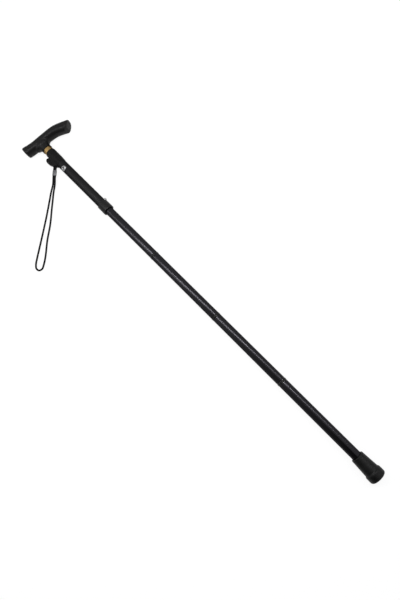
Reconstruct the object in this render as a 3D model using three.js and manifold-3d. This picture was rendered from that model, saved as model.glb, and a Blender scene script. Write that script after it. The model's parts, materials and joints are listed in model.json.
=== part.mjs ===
// Folding, height-adjustable walking cane with a T handle, lying on its side.
// Millimetres. The shaft's axis is the X axis: +X runs up the shaft from the tread of the
// rubber tip to the handle, +Y points to the handle's nose and the wrist strap, +Z is up.

import * as THREE from 'three';
import { mergeVertices, toCreasedNormals } from 'three/addons/utils/BufferGeometryUtils.js';
import Module from 'manifold-3d';

const wasm = await Module();
wasm.setup();
const { degToRad, lerp, smoothstep } = THREE.MathUtils;

// Fits
const slideClearance = 0.25; // inner tube in the upper tube, tube on its spigot
const fitClearance = 0.15; // pieces pressed or glued together
const seatGap = 0.2; // faces that butt against each other
const holeClearance = 0.2; // round a pin, button or cord in its hole
const cutMargin = 1; // that a cut runs past the piece it goes through

// Tubes
const tubeDiameter = 18;
const tubeWall = 1.2;
const upperTubeWall = 1.05;
const section2Exposed = 169;
const section3Exposed = 161;
const section4Exposed = 163;
const innerTubeExposed = 140.3; // at full height

// Rubber tip
const tipLength = 45;
const tipBottomThickness = 8;
const tipTopDiameter = 23.4;
const tipWaistDiameter = 26.8;
const tipFlangeDiameter = 30.2;
const tipFlangeHeight = 13;
const tipFilletHeight = 4; // from the flange up into the waist
const tipEdgeRadius = 4;
const tipRimRadius = 1.6; // upper rim of the flange, and its step in to the waist
const tipFilletSpread = 0.2;
const tipSideShare = 0.45; // of its taper, reached half-way up the side
const tipLipLength = 3;
const tipLipRadius = 1;
const tipMouthChamfer = 0.5;
const treadGrooveDepth = 1.2;
const treadGrooveWidth = 1.6;
const treadGrooveDraft = 0.2;
const treadCentreRadius = 3.4;
const washerThickness = 1.6;
const washerHoleDiameter = 6;

// Joints
const jointRingLength = 4.2;
const jointRingProud = 0.4;
const spigotWall = 1.3;
const spigotReach = 35;
const spigotGrip = 30;
const spigotChamfer = 0.7;

// Elastic cord
const shockCordDiameter = 4;
const ferruleLength = 5;
const ferruleWall = 1.3;
const shockCordInset = 0.5; // of its ends in their ferrules
const anchorFlangeThickness = 2;
const anchorBodyLength = 12;
const upperAnchorBelowButton = 14;

// Height lock
const heightTravel = 101.6;
const heightHoleCount = 7;
const buttonDiameter = 5.6;
const buttonAboveCollar = 3.1;
const buttonProud = 3.6;
const buttonDome = 2.2;
const buttonFlangeRadius = 4.2;
const buttonFlangeThickness = 0.9;
const springReach = 28;
const springWidth = 5;
const springThickness = 0.6;
const springBend = 1.6;
const guidePlugDepth = 8;
const guideFlangeThickness = 2;
const guidePlugBore = 7;
const guideFlangeChamfer = 0.8;
const travelMargin = 12.3; // between the guide plug and the handle's stem at the lowest setting

// Locking collar and collet
const collarLength = 22.6;
const collarWall = 0.9;
const collarLip = 2.5;
const collarEdgeRadius = 0.9;
const collarTopRounding = 0.6;
const colletSleeveLength = 9.5;
const colletWall = 0.6;
const colletTaper = 4;
const colletNoseInset = 0.8;
const colletSlotCount = 4;
const colletSlotWidth = 1.6;
const colletBridge = 3; // left whole between the slots and the upper tube

// Handle joint
const stemDepth = 28;
const stemHandleDiameter = 14;
const stemHandleDepth = 22;
const stemPinDiameter = 4;
const stemPinDrop = 14; // below the handle collar
const stemChamfer = 1;
const handleCollarLength = 10.2;
const handleCollarProud = 0.3;
const handleCollarRounding = 0.6;

// Handle
const gripNoseHeight = 23.8;
const gripCrownHeight = 20.5; // over the shaft, where the grip is slimmest
const gripTailHeight = 24.8;
const gripWidth = 27;
const gripSquareness = 2.65; // 2 is an ellipse
const gripEndRadius = 3.4;
const gripRise = 26.3; // middle of the grip at its crown, above the seat
const crownReach = 10; // from the shaft's axis towards the tail
const noseReach = 41;
const noseRise = 8.5;
const noseCut = -0.18; // slope of the end face to the spine's cross-section
const tailReach = 71;
const tailDroop = 21.5;
const tailCut = 0.4;
const noseBendRise = 0.31; // where the spine bends before each end, as shares of that end's sizes
const noseBendReach = 0.41;
const tailBendDroop = 0.27;
const tailBendReach = 0.59;
const endCutShare = 0.3; // share of the grip's length over which the cuts fade out
const neckSkirt = 4.8; // straight part above the seat
const neckStandout = 0.9; // of the skirt, from the gold ring
const neckHeight = 10; // of its flare
const neckOverlap = 9;
const neckSideFlare = 1.7;
const neckNoseFlare = 9.4;
const neckTailFlare = 9.2;

// Wrist strap
const strapRingLength = 42;
const strapRingTaper = 15;
const strapRingWall = 1.4;
const strapRingLip = 0.4; // wall left at its thin low end
const strapRingChamfer = 0.8;
const lugTopDrop = 10; // below the handle collar
const lugTopSlant = 1.8; // rise of its top face from the ring out to its corner
const lugTopStandout = 3; // flat part of its top face, from the ring
const lugCrestDrop = 17;
const lugStandout = 9.8; // of its crest, from the ring
const lugCornerFullness = 0.83;
const lugCrestFullness = 0.45;
const lugFootFullness = 0.56;
const lugBackStart = 0.3; // pulls on the curve of its back, as shares of the way to the ring's low end
const lugBackEnd = 0.68;
const lugThickness = 14;
const lugRounding = 3.5;
const cordDiameter = 4;
const strandGap = 0.2; // between the cord's two strands in the lug and the crimp
const cordExitDrop = 35.3; // below the handle collar
const cordExitStandout = 3.6; // from the ring
const cordSocketDepth = 2.1;
const cordLayGap = 0.1; // between the cord and the surface that the cane lies on
const strapAngle = 50; // degrees from the shaft
const strapDip = 0.14;
const crimpDrop = 8; // from the lug
const crimpLength = 12;
const crimpWall = 0.35;
const crimpTail = 4; // over which the strands stay together past the crimp
const crimpRounding = 0.35;

// Bright stud on the upper tube
const studDiameter = 11.8;
const studHeight = 2.4;
const studRimShare = 0.34; // of its radius, rounded at the rim
const studDishShare = 0.3; // of its radius, flat at the bottom of the dish
const studDishDepth = 1;
const studRoot = 4; // of the head's blank below the tube's surface, before its seat is cut
const studShankDiameter = 4.8;
const studDrop = 61; // below the handle collar
const studAngle = 21; // degrees from the top towards the nose side

// Radii that follow from the sizes above
const tubeRadius = tubeDiameter / 2;
const tubeBore = tubeRadius - tubeWall;
const upperBore = tubeRadius + slideClearance;
const upperRadius = upperBore + upperTubeWall;
const spigotRadius = tubeBore - fitClearance;
const colletRadius = upperRadius + fitClearance + colletWall;
const collarBore = colletRadius + 0.5 * holeClearance;
const ringRadius = upperRadius + fitClearance + strapRingWall;
const cordRadius = cordDiameter / 2;
const cordSpacing = cordDiameter + strandGap;

// Stations along the shaft
const washerLow = tipBottomThickness + seatGap;
const lowerAnchorLow = washerLow + washerThickness + seatGap;
const section4Low = lowerAnchorLow + anchorFlangeThickness + seatGap;
const ring3Low = tipLength + section4Exposed;
const ring2Low = ring3Low + jointRingLength + section3Exposed;
const ring1Low = ring2Low + jointRingLength + section2Exposed;
const collarLow = ring1Low + jointRingLength + innerTubeExposed;
const collarHigh = collarLow + collarLength;
const upperTubeLow = collarHigh - colletSleeveLength;
const buttonStation = collarHigh + buttonAboveCollar;
const springEnd = buttonStation + springReach;
const innerTubeHigh = springEnd + seatGap + guidePlugDepth;
const stemLow = innerTubeHigh + seatGap + guideFlangeThickness + heightTravel + travelMargin;
const handleCollarLow = stemLow + stemDepth;
const handleSeat = handleCollarLow + handleCollarLength;
const studStation = handleCollarLow - studDrop;
const heightStep = heightTravel / (heightHoleCount - 1);

const roundSteps = 32; // facets round the shaft's visible pieces
const innerSteps = 24; // facets round pieces inside the tubes
const smallSteps = 18; // facets round pins, holes and the button
const domeSteps = 5;
const bendSteps = 6;
const cordSides = 8;
const cordWaySteps = 12;
const cordSteps = 78;

const material = (color, roughness, metalness) =>
  new THREE.MeshStandardMaterial({ color, roughness, metalness });
const blackPlastic = material(0x1c1b1d, 0.45, 0);
const blackRubber = material(0x161617, 0.85, 0);
const blackAnodised = material(0x1d1c21, 0.35, 0.6);
const blackCord = material(0x19191b, 0.9, 0);
const goldMetal = material(0x9e804e, 0.35, 1);
const bareAluminium = material(0xb9bbbd, 0.4, 1);
const brightSteel = material(0xc6c8ca, 0.22, 1);
const dullMetal = material(0x77787a, 0.55, 1);
const paleNylon = material(0xd8d6cf, 0.6, 0);

// Solids

function solid(geometry) {
  const bare = geometry.clone();
  bare.deleteAttribute('normal');
  bare.deleteAttribute('uv');
  const merged = mergeVertices(bare, 1e-4);
  const mesh = new wasm.Mesh({
    numProp: 3,
    vertProperties: new Float32Array(merged.attributes.position.array),
    triVerts: new Uint32Array(merged.index.array),
  });
  return new wasm.Manifold(mesh);
}

function geometryOf(manifold) {
  const { vertProperties, triVerts } = manifold.getMesh();
  const geometry = new THREE.BufferGeometry();
  geometry.setAttribute('position', new THREE.BufferAttribute(new Float32Array(vertProperties), 3));
  geometry.setIndex(new THREE.BufferAttribute(new Uint32Array(triVerts), 1));
  return toCreasedNormals(geometry, Math.PI / 6);
}

// A profile of [station, radius] points, in order up the outside, turned about the shaft's axis.
function turned(profile, steps = roundSteps) {
  const points = profile.map(([x, r]) => new THREE.Vector2(r, x));
  return new THREE.LatheGeometry(points, steps).rotateZ(-Math.PI / 2);
}

function turnedTube(low, high, outer, inner, steps = roundSteps) {
  const profile = [
    [low, inner],
    [low, outer],
    [high, outer],
    [high, inner],
  ];
  return turned(inner > 0 ? [...profile, profile[0]] : profile, steps);
}

// A round bar from one radius to another, square to the shaft, at an angle from +Z towards +Y.
function crossBar(station, radius, from, to, angle, steps = smallSteps) {
  const bar = new THREE.CylinderGeometry(radius, radius, to - from, steps);
  bar.translate(0, (from + to) / 2, 0).rotateX(Math.PI / 2 - degToRad(angle));
  return bar.translate(station, 0, 0);
}

// Quarter turn of points round a centre, for rounded edges in a profile.
function edge(x, r, radius, startAngle, endAngle, count = 4) {
  return Array.from({ length: count + 1 }, (_, i) => {
    const angle = degToRad(startAngle + ((endAngle - startAngle) * i) / count);
    return [x + radius * Math.cos(angle), r + radius * Math.sin(angle)];
  });
}

// A closed skin through rings that all have the same number of points.
function loft(rings) {
  const count = rings[0].length;
  const centre = (ring) => ring.reduce((sum, p) => sum.add(p), new THREE.Vector3()).divideScalar(count);
  const points = [...rings.flat(), centre(rings[0]), centre(rings.at(-1))];
  const index = [];
  for (let k = 0; k < rings.length - 1; k += 1) {
    for (let i = 0; i < count; i += 1) {
      const [a, b] = [k * count + i, k * count + ((i + 1) % count)];
      index.push(a, b, a + count, b, b + count, a + count);
    }
  }
  const last = (rings.length - 1) * count;
  for (let i = 0; i < count; i += 1) {
    const next = (i + 1) % count;
    index.push(last + count, next, i, last + count + 1, last + i, last + next);
  }
  const geometry = new THREE.BufferGeometry().setFromPoints(points);
  geometry.setIndex(index);
  return geometry;
}

const cane = new THREE.Group();

function addPiece(name, geometry, look) {
  const piece = new THREE.Mesh(geometry, look);
  piece.name = name;
  cane.add(piece);
}

// Handle: a grip swept along its spine, and a neck that flares up into it.

function gripSpine() {
  const crown = handleSeat + gripRise;
  const point = (rise, reach) => new THREE.Vector3(crown + rise, reach, 0);
  const points = [
    point(noseRise, noseReach),
    point(noseBendRise * noseRise, noseBendReach * noseReach),
    point(0, -crownReach),
    point(-tailBendDroop * tailDroop, -tailBendReach * tailReach),
    point(-tailDroop, -tailReach),
  ];
  return new THREE.CatmullRomCurve3(points, false, 'centripetal');
}

function gripHeight(along, crown) {
  if (along < crown) return lerp(gripNoseHeight, gripCrownHeight, smoothstep(along, 0, crown));
  return lerp(gripCrownHeight, gripTailHeight, smoothstep(along, crown, 1));
}

// One ring of the grip: a rounded box that leans into the end cuts near each end.
function gripRing(spine, along, inset, steps) {
  const middle = spine.getPointAt(along);
  const tangent = spine.getTangentAt(along);
  const across = new THREE.Vector3(-tangent.y, tangent.x, 0);
  const crown = (noseReach + crownReach) / (noseReach + tailReach);
  const half = gripHeight(along, crown) / 2 - inset;
  const nearNose = Math.max(0, 1 - along / endCutShare);
  const nearTail = Math.max(0, 1 - (1 - along) / endCutShare);
  across.addScaledVector(tangent, noseCut * nearNose + tailCut * nearTail);
  const power = 2 / gripSquareness;
  return Array.from({ length: steps }, (_, i) => {
    const angle = (2 * Math.PI * i) / steps;
    const [c, s] = [Math.cos(angle), Math.sin(angle)];
    const height = half * Math.sign(c) * Math.abs(c) ** power;
    const width = (gripWidth / 2 - inset) * Math.sign(s) * Math.abs(s) ** power;
    return middle.clone().addScaledVector(across, height).add(new THREE.Vector3(0, 0, width));
  });
}

function grip(steps = 28, stations = 14, endSteps = 3) {
  const spine = gripSpine();
  const roundOff = gripEndRadius / spine.getLength();
  const ends = Array.from({ length: endSteps }, (_, i) => {
    const angle = ((Math.PI / 2) * i) / endSteps;
    return { along: roundOff * (1 - Math.cos(angle)), inset: gripEndRadius * (1 - Math.sin(angle)) };
  });
  const middle = Array.from({ length: stations + 1 }, (_, i) => ({
    along: roundOff + ((1 - 2 * roundOff) * i) / stations,
    inset: 0,
  }));
  const tail = ends.toReversed().map(({ along, inset }) => ({ along: 1 - along, inset }));
  return loft([...ends, ...middle, ...tail].map(({ along, inset }) => gripRing(spine, along, inset, steps)));
}

function neck(steps = 32, layers = 6) {
  const skirtRadius = upperRadius + handleCollarProud + neckStandout;
  const ring = (height, swell) =>
    Array.from({ length: steps }, (_, i) => {
      const angle = (2 * Math.PI * i) / steps;
      const lengthwiseFlare = Math.cos(angle) > 0 ? neckNoseFlare : neckTailFlare;
      const y = (skirtRadius + lengthwiseFlare * swell) * Math.cos(angle);
      const z = (skirtRadius + neckSideFlare * swell) * Math.sin(angle);
      return new THREE.Vector3(handleSeat + height, y, z);
    });
  const rings = Array.from({ length: layers + 1 }, (_, i) => {
    const angle = ((Math.PI / 2) * i) / layers;
    return ring(neckSkirt + neckHeight * Math.sin(angle), 1 - Math.cos(angle));
  });
  return loft([ring(0, 0), ...rings, ring(neckSkirt + neckHeight + neckOverlap, 1)]);
}

function handle() {
  const socket = turnedTube(
    handleSeat - cutMargin,
    handleSeat + stemHandleDepth + seatGap,
    stemHandleDiameter / 2 + fitClearance,
    0,
    innerSteps,
  );
  return geometryOf(solid(grip()).add(solid(neck())).subtract(solid(socket)));
}

function stemPinHole(clearance) {
  const reach = 2 * upperRadius;
  return solid(
    crossBar(handleCollarLow - stemPinDrop, stemPinDiameter / 2 + clearance, -reach, reach, 0),
  );
}

function handleStem() {
  const body = upperBore - fitClearance;
  const post = stemHandleDiameter / 2;
  const shoulder = handleSeat - seatGap;
  const profile = [
    [stemLow, 0],
    [stemLow, body - stemChamfer],
    [stemLow + stemChamfer, body],
    [shoulder, body],
    [shoulder, post],
    [handleSeat + stemHandleDepth - stemChamfer, post],
    [handleSeat + stemHandleDepth, post - stemChamfer],
    [handleSeat + stemHandleDepth, 0],
  ];
  return geometryOf(solid(turned(profile, innerSteps)).subtract(stemPinHole(holeClearance / 2)));
}

function handleCollar() {
  const inner = upperBore;
  const outer = upperRadius + handleCollarProud;
  const [low, high] = [handleCollarLow, handleSeat - seatGap];
  const round = handleCollarRounding;
  return turned([
    [low, inner],
    ...edge(low + round, outer - round, round, 180, 90, 2),
    ...edge(high - round, outer - round, round, 90, 0, 2),
    [high, inner],
    [low, inner],
  ]);
}

addPiece('handle', handle(), blackPlastic);
addPiece('handle_stem', handleStem(), bareAluminium);
addPiece('handle_collar', handleCollar(), goldMetal);
addPiece(
  'stem_pin',
  crossBar(
    handleCollarLow - stemPinDrop,
    stemPinDiameter / 2,
    seatGap - upperRadius,
    upperRadius - seatGap,
    0,
  ),
  brightSteel,
);

// Upper tube, with its row of height holes, and the bright stud on its side.

function upperTube() {
  let tube = solid(turnedTube(upperTubeLow, handleCollarLow - seatGap, upperRadius, upperBore));
  for (let i = 0; i < heightHoleCount; i += 1) {
    const station = buttonStation + i * heightStep;
    const radius = buttonDiameter / 2 + holeClearance;
    tube = tube.subtract(solid(crossBar(station, radius, tubeBore, 2 * upperRadius, -90)));
  }
  const studHole = studShankDiameter / 2 + holeClearance;
  tube = tube.subtract(solid(crossBar(studStation, studHole, tubeBore, 2 * upperRadius, studAngle)));
  return geometryOf(tube.subtract(stemPinHole(holeClearance / 2)));
}

function tubeStud() {
  const radius = studDiameter / 2;
  const rim = upperRadius + studHeight;
  const crest = studRimShare * radius;
  const head = new THREE.LatheGeometry(
    [
      [0, upperRadius - studRoot],
      [radius, upperRadius - studRoot],
      [radius, rim - crest],
      ...edge(radius - crest, rim - crest, crest, 0, 160, 5),
      [studDishShare * radius, rim - studDishDepth],
      [0, rim - studDishDepth],
    ].map(([r, y]) => new THREE.Vector2(r, y)),
    smallSteps,
  );
  head.rotateX(Math.PI / 2 - degToRad(studAngle)).translate(studStation, 0, 0);
  const seatRadius = upperRadius + fitClearance;
  const seat = turnedTube(studStation - studDiameter, studStation + studDiameter, seatRadius, 0);
  const shank = crossBar(
    studStation,
    studShankDiameter / 2,
    upperBore + holeClearance / 2,
    upperRadius + studHeight / 2,
    studAngle,
  );
  return geometryOf(solid(head).subtract(solid(seat)).add(solid(shank)));
}

addPiece('upper_tube', upperTube(), blackAnodised);
addPiece('tube_stud', tubeStud(), brightSteel);

// Wrist strap: rubber ring with a lug, cord loop and crimp.

const strapTurn = degToRad(strapAngle);
const strapHeading = new THREE.Vector3(-Math.cos(strapTurn), Math.sin(strapTurn), -strapDip).normalize();
const strapSide = new THREE.Vector3(-Math.sin(strapTurn), -Math.cos(strapTurn), 0);
const strapUp = new THREE.Vector3().crossVectors(strapHeading, strapSide);
const cordExit = new THREE.Vector3(
  handleCollarLow - cordExitDrop,
  ringRadius + cordExitStandout,
  0,
);
const strapFrame = new THREE.Matrix4()
  .makeBasis(strapSide, strapUp, strapHeading)
  .setPosition(cordExit);

// The way of one strand of the cord, between two distances from its exit.
function cordWay(side, from, to) {
  const radius = cordRadius + holeClearance;
  const way = new THREE.CylinderGeometry(radius, radius, to - from, cordWaySteps);
  way.rotateX(Math.PI / 2);
  return way.translate((side * cordSpacing) / 2, 0, (from + to) / 2).applyMatrix4(strapFrame);
}

// The lug seen from above: a flat top, a full crest and a long fall to the ring's low end.
function lugOutline(low) {
  const top = handleCollarLow - lugTopDrop;
  const corner = top + lugTopSlant;
  const crest = handleCollarLow - lugCrestDrop;
  const reach = ringRadius + lugStandout;
  const outline = new THREE.Shape();
  outline.moveTo(top, 0);
  outline.lineTo(top, ringRadius);
  outline.lineTo(corner, ringRadius + lugTopStandout);
  outline.bezierCurveTo(
    corner,
    ringRadius + lugCornerFullness * lugStandout,
    lerp(crest, corner, lugCrestFullness),
    reach,
    crest,
    reach,
  );
  outline.bezierCurveTo(
    lerp(crest, low, lugBackStart),
    reach,
    lerp(crest, low, lugBackEnd),
    lerp(upperRadius, reach, lugFootFullness),
    low,
    upperRadius,
  );
  outline.lineTo(low, 0);
  return outline;
}

function strapRing() {
  const bore = upperRadius + fitClearance;
  const high = handleCollarLow - seatGap;
  const low = high - strapRingLength;
  const sleeve = turned([
    [low, 0],
    [low, bore + strapRingLip],
    [low + strapRingTaper, ringRadius],
    [high - strapRingChamfer, ringRadius],
    [high, ringRadius - strapRingChamfer],
    [high, 0],
  ]);
  const lug = new THREE.ExtrudeGeometry(lugOutline(low), {
    depth: lugThickness - 2 * lugRounding,
    bevelThickness: lugRounding,
    bevelSize: lugRounding,
    bevelOffset: -lugRounding,
    bevelSegments: 2,
    curveSegments: 6,
  });
  lug.translate(0, 0, lugRounding - lugThickness / 2);
  const tubeWay = turnedTube(low - cutMargin, high + cutMargin, bore, 0);
  let ring = solid(sleeve).add(solid(lug)).subtract(solid(tubeWay));
  for (const side of [-1, 1]) {
    ring = ring.subtract(solid(cordWay(side, -cordSocketDepth - seatGap, crimpDrop)));
  }
  return geometryOf(ring);
}

addPiece('strap_ring', strapRing(), blackRubber);

// Locking collar and collet at the mouth of the upper tube.

function collet() {
  const low = collarLow + collarLip + 2 * seatGap;
  const high = collarHigh - seatGap;
  const nose = colletRadius - colletNoseInset;
  const sleeveBore = upperRadius + fitClearance;
  const body = solid(
    turned([
      [low, upperBore],
      [low, nose],
      [low + colletTaper, colletRadius],
      [high, colletRadius],
      [high, sleeveBore],
      [upperTubeLow - seatGap, sleeveBore],
      [upperTubeLow - seatGap, upperBore],
      [low, upperBore],
    ]),
  );
  const slotLength = cutMargin + upperTubeLow - low - colletBridge;
  let cut = body;
  for (let i = 0; i < colletSlotCount / 2; i += 1) {
    const slot = new THREE.BoxGeometry(slotLength, 4 * colletRadius, colletSlotWidth);
    slot.translate(low - cutMargin + slotLength / 2, 0, 0);
    slot.rotateX(Math.PI / 4 + (2 * Math.PI * i) / colletSlotCount);
    cut = cut.subtract(solid(slot));
  }
  return geometryOf(cut);
}

function lockingCollar() {
  const outer = collarBore + collarWall;
  const lipBore = upperBore + holeClearance / 2;
  const nose = collarBore - colletNoseInset;
  const round = collarEdgeRadius;
  return turned([
    [collarLow + collarLip, lipBore],
    [collarLow, lipBore],
    ...edge(collarLow + round, outer - round, round, 180, 90, 3),
    ...edge(collarHigh - collarTopRounding, outer - collarTopRounding, collarTopRounding, 90, 0, 2),
    [collarHigh, collarBore],
    [collarLow + collarLip + colletTaper, collarBore],
    [collarLow + collarLip, nose],
    [collarLow + collarLip, lipBore],
  ]);
}

addPiece('collet', collet(), paleNylon);
addPiece('locking_collar', lockingCollar(), blackPlastic);

// Inner tube with its button, spring and guide plug.

function innerTube() {
  const low = ring1Low + jointRingLength + seatGap;
  const tube = solid(turnedTube(low, innerTubeHigh, tubeRadius, tubeBore));
  const radius = buttonDiameter / 2 + holeClearance;
  const hole = solid(crossBar(buttonStation, radius, tubeBore / 2, 2 * tubeRadius, -90));
  return geometryOf(tube.subtract(hole));
}

function guidePlug() {
  const body = tubeBore - fitClearance;
  const bore = guidePlugBore / 2;
  const low = innerTubeHigh - guidePlugDepth;
  const shoulder = innerTubeHigh + seatGap;
  const high = shoulder + guideFlangeThickness;
  const profile = [
    [low, bore],
    [low, body],
    [shoulder, body],
    [shoulder, tubeRadius],
    [high - guideFlangeChamfer, tubeRadius],
    [high, tubeRadius - guideFlangeChamfer],
    [high, bore],
    [low, bore],
  ];
  return turned(profile, innerSteps);
}

// Depth below the shaft's axis at which a flat of the given half width clears the tube's bore.
const flatDepth = (halfWidth) => Math.sqrt(tubeBore ** 2 - halfWidth ** 2);

function heightButton() {
  const top = upperRadius + buttonProud;
  const radius = buttonDiameter / 2;
  const flangeTop = flatDepth(buttonFlangeRadius) - seatGap;
  const dome = Array.from({ length: domeSteps }, (_, i) => {
    const angle = ((Math.PI / 2) * i) / domeSteps;
    return [radius * Math.cos(angle), top - buttonDome + buttonDome * Math.sin(angle)];
  });
  const profile = [
    [0, flangeTop - buttonFlangeThickness],
    [buttonFlangeRadius, flangeTop - buttonFlangeThickness],
    [buttonFlangeRadius, flangeTop],
    [radius, flangeTop],
    ...dome,
    [0, top],
  ];
  const button = new THREE.LatheGeometry(profile.map(([r, y]) => new THREE.Vector2(r, y)), smallSteps);
  return button.rotateX(Math.PI).translate(buttonStation, 0, 0);
}

// A bent leaf: one leg under the button's flange, the other on the far wall of the tube.
function buttonSpring() {
  const half = springThickness / 2;
  const near = -(flatDepth(buttonFlangeRadius) - seatGap - buttonFlangeThickness - seatGap - half);
  const far = flatDepth(springWidth / 2) - seatGap - half;
  const apex = springEnd - half - springBend;
  const start = buttonStation - buttonFlangeRadius;
  const bend = Array.from({ length: bendSteps + 1 }, (_, i) => {
    const angle = -Math.PI / 2 + (Math.PI * i) / bendSteps;
    return new THREE.Vector2(apex + springBend * Math.cos(angle), springBend * Math.sin(angle));
  });
  const line = [
    new THREE.Vector2(start, near),
    new THREE.Vector2(buttonStation + buttonFlangeRadius, near),
    ...bend,
    new THREE.Vector2(buttonStation + buttonFlangeRadius, far),
    new THREE.Vector2(start, far),
  ];
  const normal = (i) => {
    const [before, after] = [line[Math.max(i - 1, 0)], line[Math.min(i + 1, line.length - 1)]];
    const run = after.clone().sub(before).normalize();
    return new THREE.Vector2(-run.y, run.x).multiplyScalar(half);
  };
  const left = line.map((p, i) => p.clone().add(normal(i)));
  const right = line.map((p, i) => p.clone().sub(normal(i)));
  const leaf = new THREE.ExtrudeGeometry(new THREE.Shape([...right, ...left.toReversed()]), {
    depth: springWidth,
    bevelEnabled: false,
  });
  return leaf.translate(0, 0, -springWidth / 2);
}

addPiece('inner_tube', innerTube(), blackAnodised);
addPiece('guide_plug', guidePlug(), paleNylon);
addPiece('height_button', heightButton(), brightSteel);
addPiece('button_spring', buttonSpring(), brightSteel);

// Lower sections. Each joint has a ring and a spigot fixed to the section above it.

const joints = [
  { name: 1, ringLow: ring1Low },
  { name: 2, ringLow: ring2Low },
  { name: 3, ringLow: ring3Low },
];
const sections = [
  { name: 2, low: ring2Low + jointRingLength + seatGap, high: ring1Low - seatGap },
  { name: 3, low: ring3Low + jointRingLength + seatGap, high: ring2Low - seatGap },
  { name: 4, low: section4Low, high: ring3Low - seatGap },
];

function jointRing(low) {
  const inner = spigotRadius + fitClearance;
  const outer = tubeRadius + jointRingProud;
  const high = low + jointRingLength;
  const round = jointRingProud;
  return turned([
    [low, inner],
    [low, outer - round],
    [low + round, outer],
    [high - round, outer],
    [high, outer - round],
    [high, inner],
    [low, inner],
  ]);
}

function spigot(ringLow) {
  const low = ringLow - spigotReach;
  const high = ringLow + jointRingLength + spigotGrip;
  const bore = spigotRadius - spigotWall;
  const profile = [
    [low, bore],
    [low, spigotRadius - spigotChamfer],
    [low + 2 * spigotChamfer, spigotRadius],
    [high, spigotRadius],
    [high, bore],
    [low, bore],
  ];
  return turned(profile, innerSteps);
}

for (const { name, ringLow } of joints) {
  addPiece(`joint_ring_${name}`, jointRing(ringLow), blackPlastic);
  addPiece(`spigot_${name}`, spigot(ringLow), bareAluminium);
}
for (const { name, low, high } of sections) {
  addPiece(`section_${name}_tube`, turnedTube(low, high, tubeRadius, tubeBore), blackAnodised);
}

// Elastic cord with a ferrule at each end, held by an anchor in the inner tube and in section 4.

const ferruleRadius = shockCordDiameter / 2 + ferruleWall;
const upperAnchorHigh = buttonStation - upperAnchorBelowButton;
const upperFerruleLow = upperAnchorHigh - ferruleLength;
const lowerFerruleLow = lowerAnchorLow;

// The cord's way through an anchor, with a pocket for the ferrule at one end.
function anchorWay(low, high, pocketLow, pocketHigh) {
  const radius = shockCordDiameter / 2 + holeClearance;
  const way = turnedTube(low - cutMargin, high + cutMargin, radius, 0, smallSteps);
  const pocket = turnedTube(pocketLow, pocketHigh, ferruleRadius + holeClearance, 0, smallSteps);
  return solid(way).add(solid(pocket));
}

function upperAnchor() {
  const low = upperAnchorHigh - anchorBodyLength;
  const body = turnedTube(low, upperAnchorHigh, tubeBore - fitClearance, 0, innerSteps);
  const way = anchorWay(low, upperAnchorHigh, upperFerruleLow - seatGap, upperAnchorHigh + cutMargin);
  return geometryOf(solid(body).subtract(way));
}

function lowerAnchor() {
  const high = section4Low + anchorBodyLength;
  const profile = [
    [lowerAnchorLow, 0],
    [lowerAnchorLow, tubeRadius],
    [section4Low - seatGap, tubeRadius],
    [section4Low - seatGap, tubeBore - fitClearance],
    [high, tubeBore - fitClearance],
    [high, 0],
  ];
  const pocketHigh = lowerFerruleLow + ferruleLength + seatGap;
  const way = anchorWay(lowerAnchorLow, high, lowerAnchorLow - cutMargin, pocketHigh);
  return geometryOf(solid(turned(profile, innerSteps)).subtract(way));
}

function ferrule(low) {
  const bore = shockCordDiameter / 2 + holeClearance / 2;
  return turnedTube(low, low + ferruleLength, ferruleRadius, bore, smallSteps);
}

addPiece('upper_cord_anchor', upperAnchor(), paleNylon);
addPiece('lower_cord_anchor', lowerAnchor(), paleNylon);
addPiece('upper_cord_ferrule', ferrule(upperFerruleLow), dullMetal);
addPiece('lower_cord_ferrule', ferrule(lowerFerruleLow), dullMetal);
addPiece(
  'shock_cord',
  turnedTube(
    lowerFerruleLow + shockCordInset,
    upperAnchorHigh - shockCordInset,
    shockCordDiameter / 2,
    0,
    smallSteps,
  ),
  blackCord,
);

// Rubber tip over the end of section 4, with a washer under the tube.

function rubberTip() {
  const flange = tipFlangeDiameter / 2;
  const waist = tipWaistDiameter / 2;
  const top = tipTopDiameter / 2;
  const bore = tubeRadius + fitClearance;
  const grooveGap = (flange - tipEdgeRadius - treadCentreRadius - 2 * treadGrooveWidth) / 2;
  const grooves = [0, 1].flatMap((i) => {
    const from = treadCentreRadius + i * (treadGrooveWidth + grooveGap);
    return [
      [0, from],
      [treadGrooveDepth, from + treadGrooveDraft],
      [treadGrooveDepth, from + treadGrooveWidth - treadGrooveDraft],
      [0, from + treadGrooveWidth],
    ];
  });
  return turned([
    [0, 0],
    ...grooves,
    ...edge(tipEdgeRadius, flange - tipEdgeRadius, tipEdgeRadius, 180, 90, 4),
    ...edge(tipFlangeHeight - tipRimRadius, flange - tipRimRadius, tipRimRadius, 90, 20, 2),
    [tipFlangeHeight + tipRimRadius, waist + tipFilletSpread],
    [tipFlangeHeight + tipFilletHeight, waist - tipFilletSpread],
    [(tipFlangeHeight + tipLength) / 2, lerp(waist, top, tipSideShare)],
    [tipLength - tipLipLength, top],
    ...edge(tipLength - tipLipRadius, top - tipLipRadius, tipLipRadius, 80, 0, 2),
    [tipLength, bore + tipMouthChamfer],
    [tipLength - tipMouthChamfer, bore],
    [tipBottomThickness, bore],
    [tipBottomThickness, 0],
  ]);
}

addPiece('rubber_tip', rubberTip(), blackRubber);
addPiece(
  'tip_washer',
  turnedTube(washerLow, washerLow + washerThickness, tubeRadius, washerHoleDiameter / 2, innerSteps),
  brightSteel,
);

// Height of the surface that the cane lies on: it touches the tip's flange and the handle's side.
function surfaceHeight(station) {
  const flangeStation = tipFlangeHeight / 2;
  const share = (station - flangeStation) / (handleSeat + gripRise - flangeStation);
  return -lerp(tipFlangeDiameter / 2, gripWidth / 2, share);
}

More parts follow.
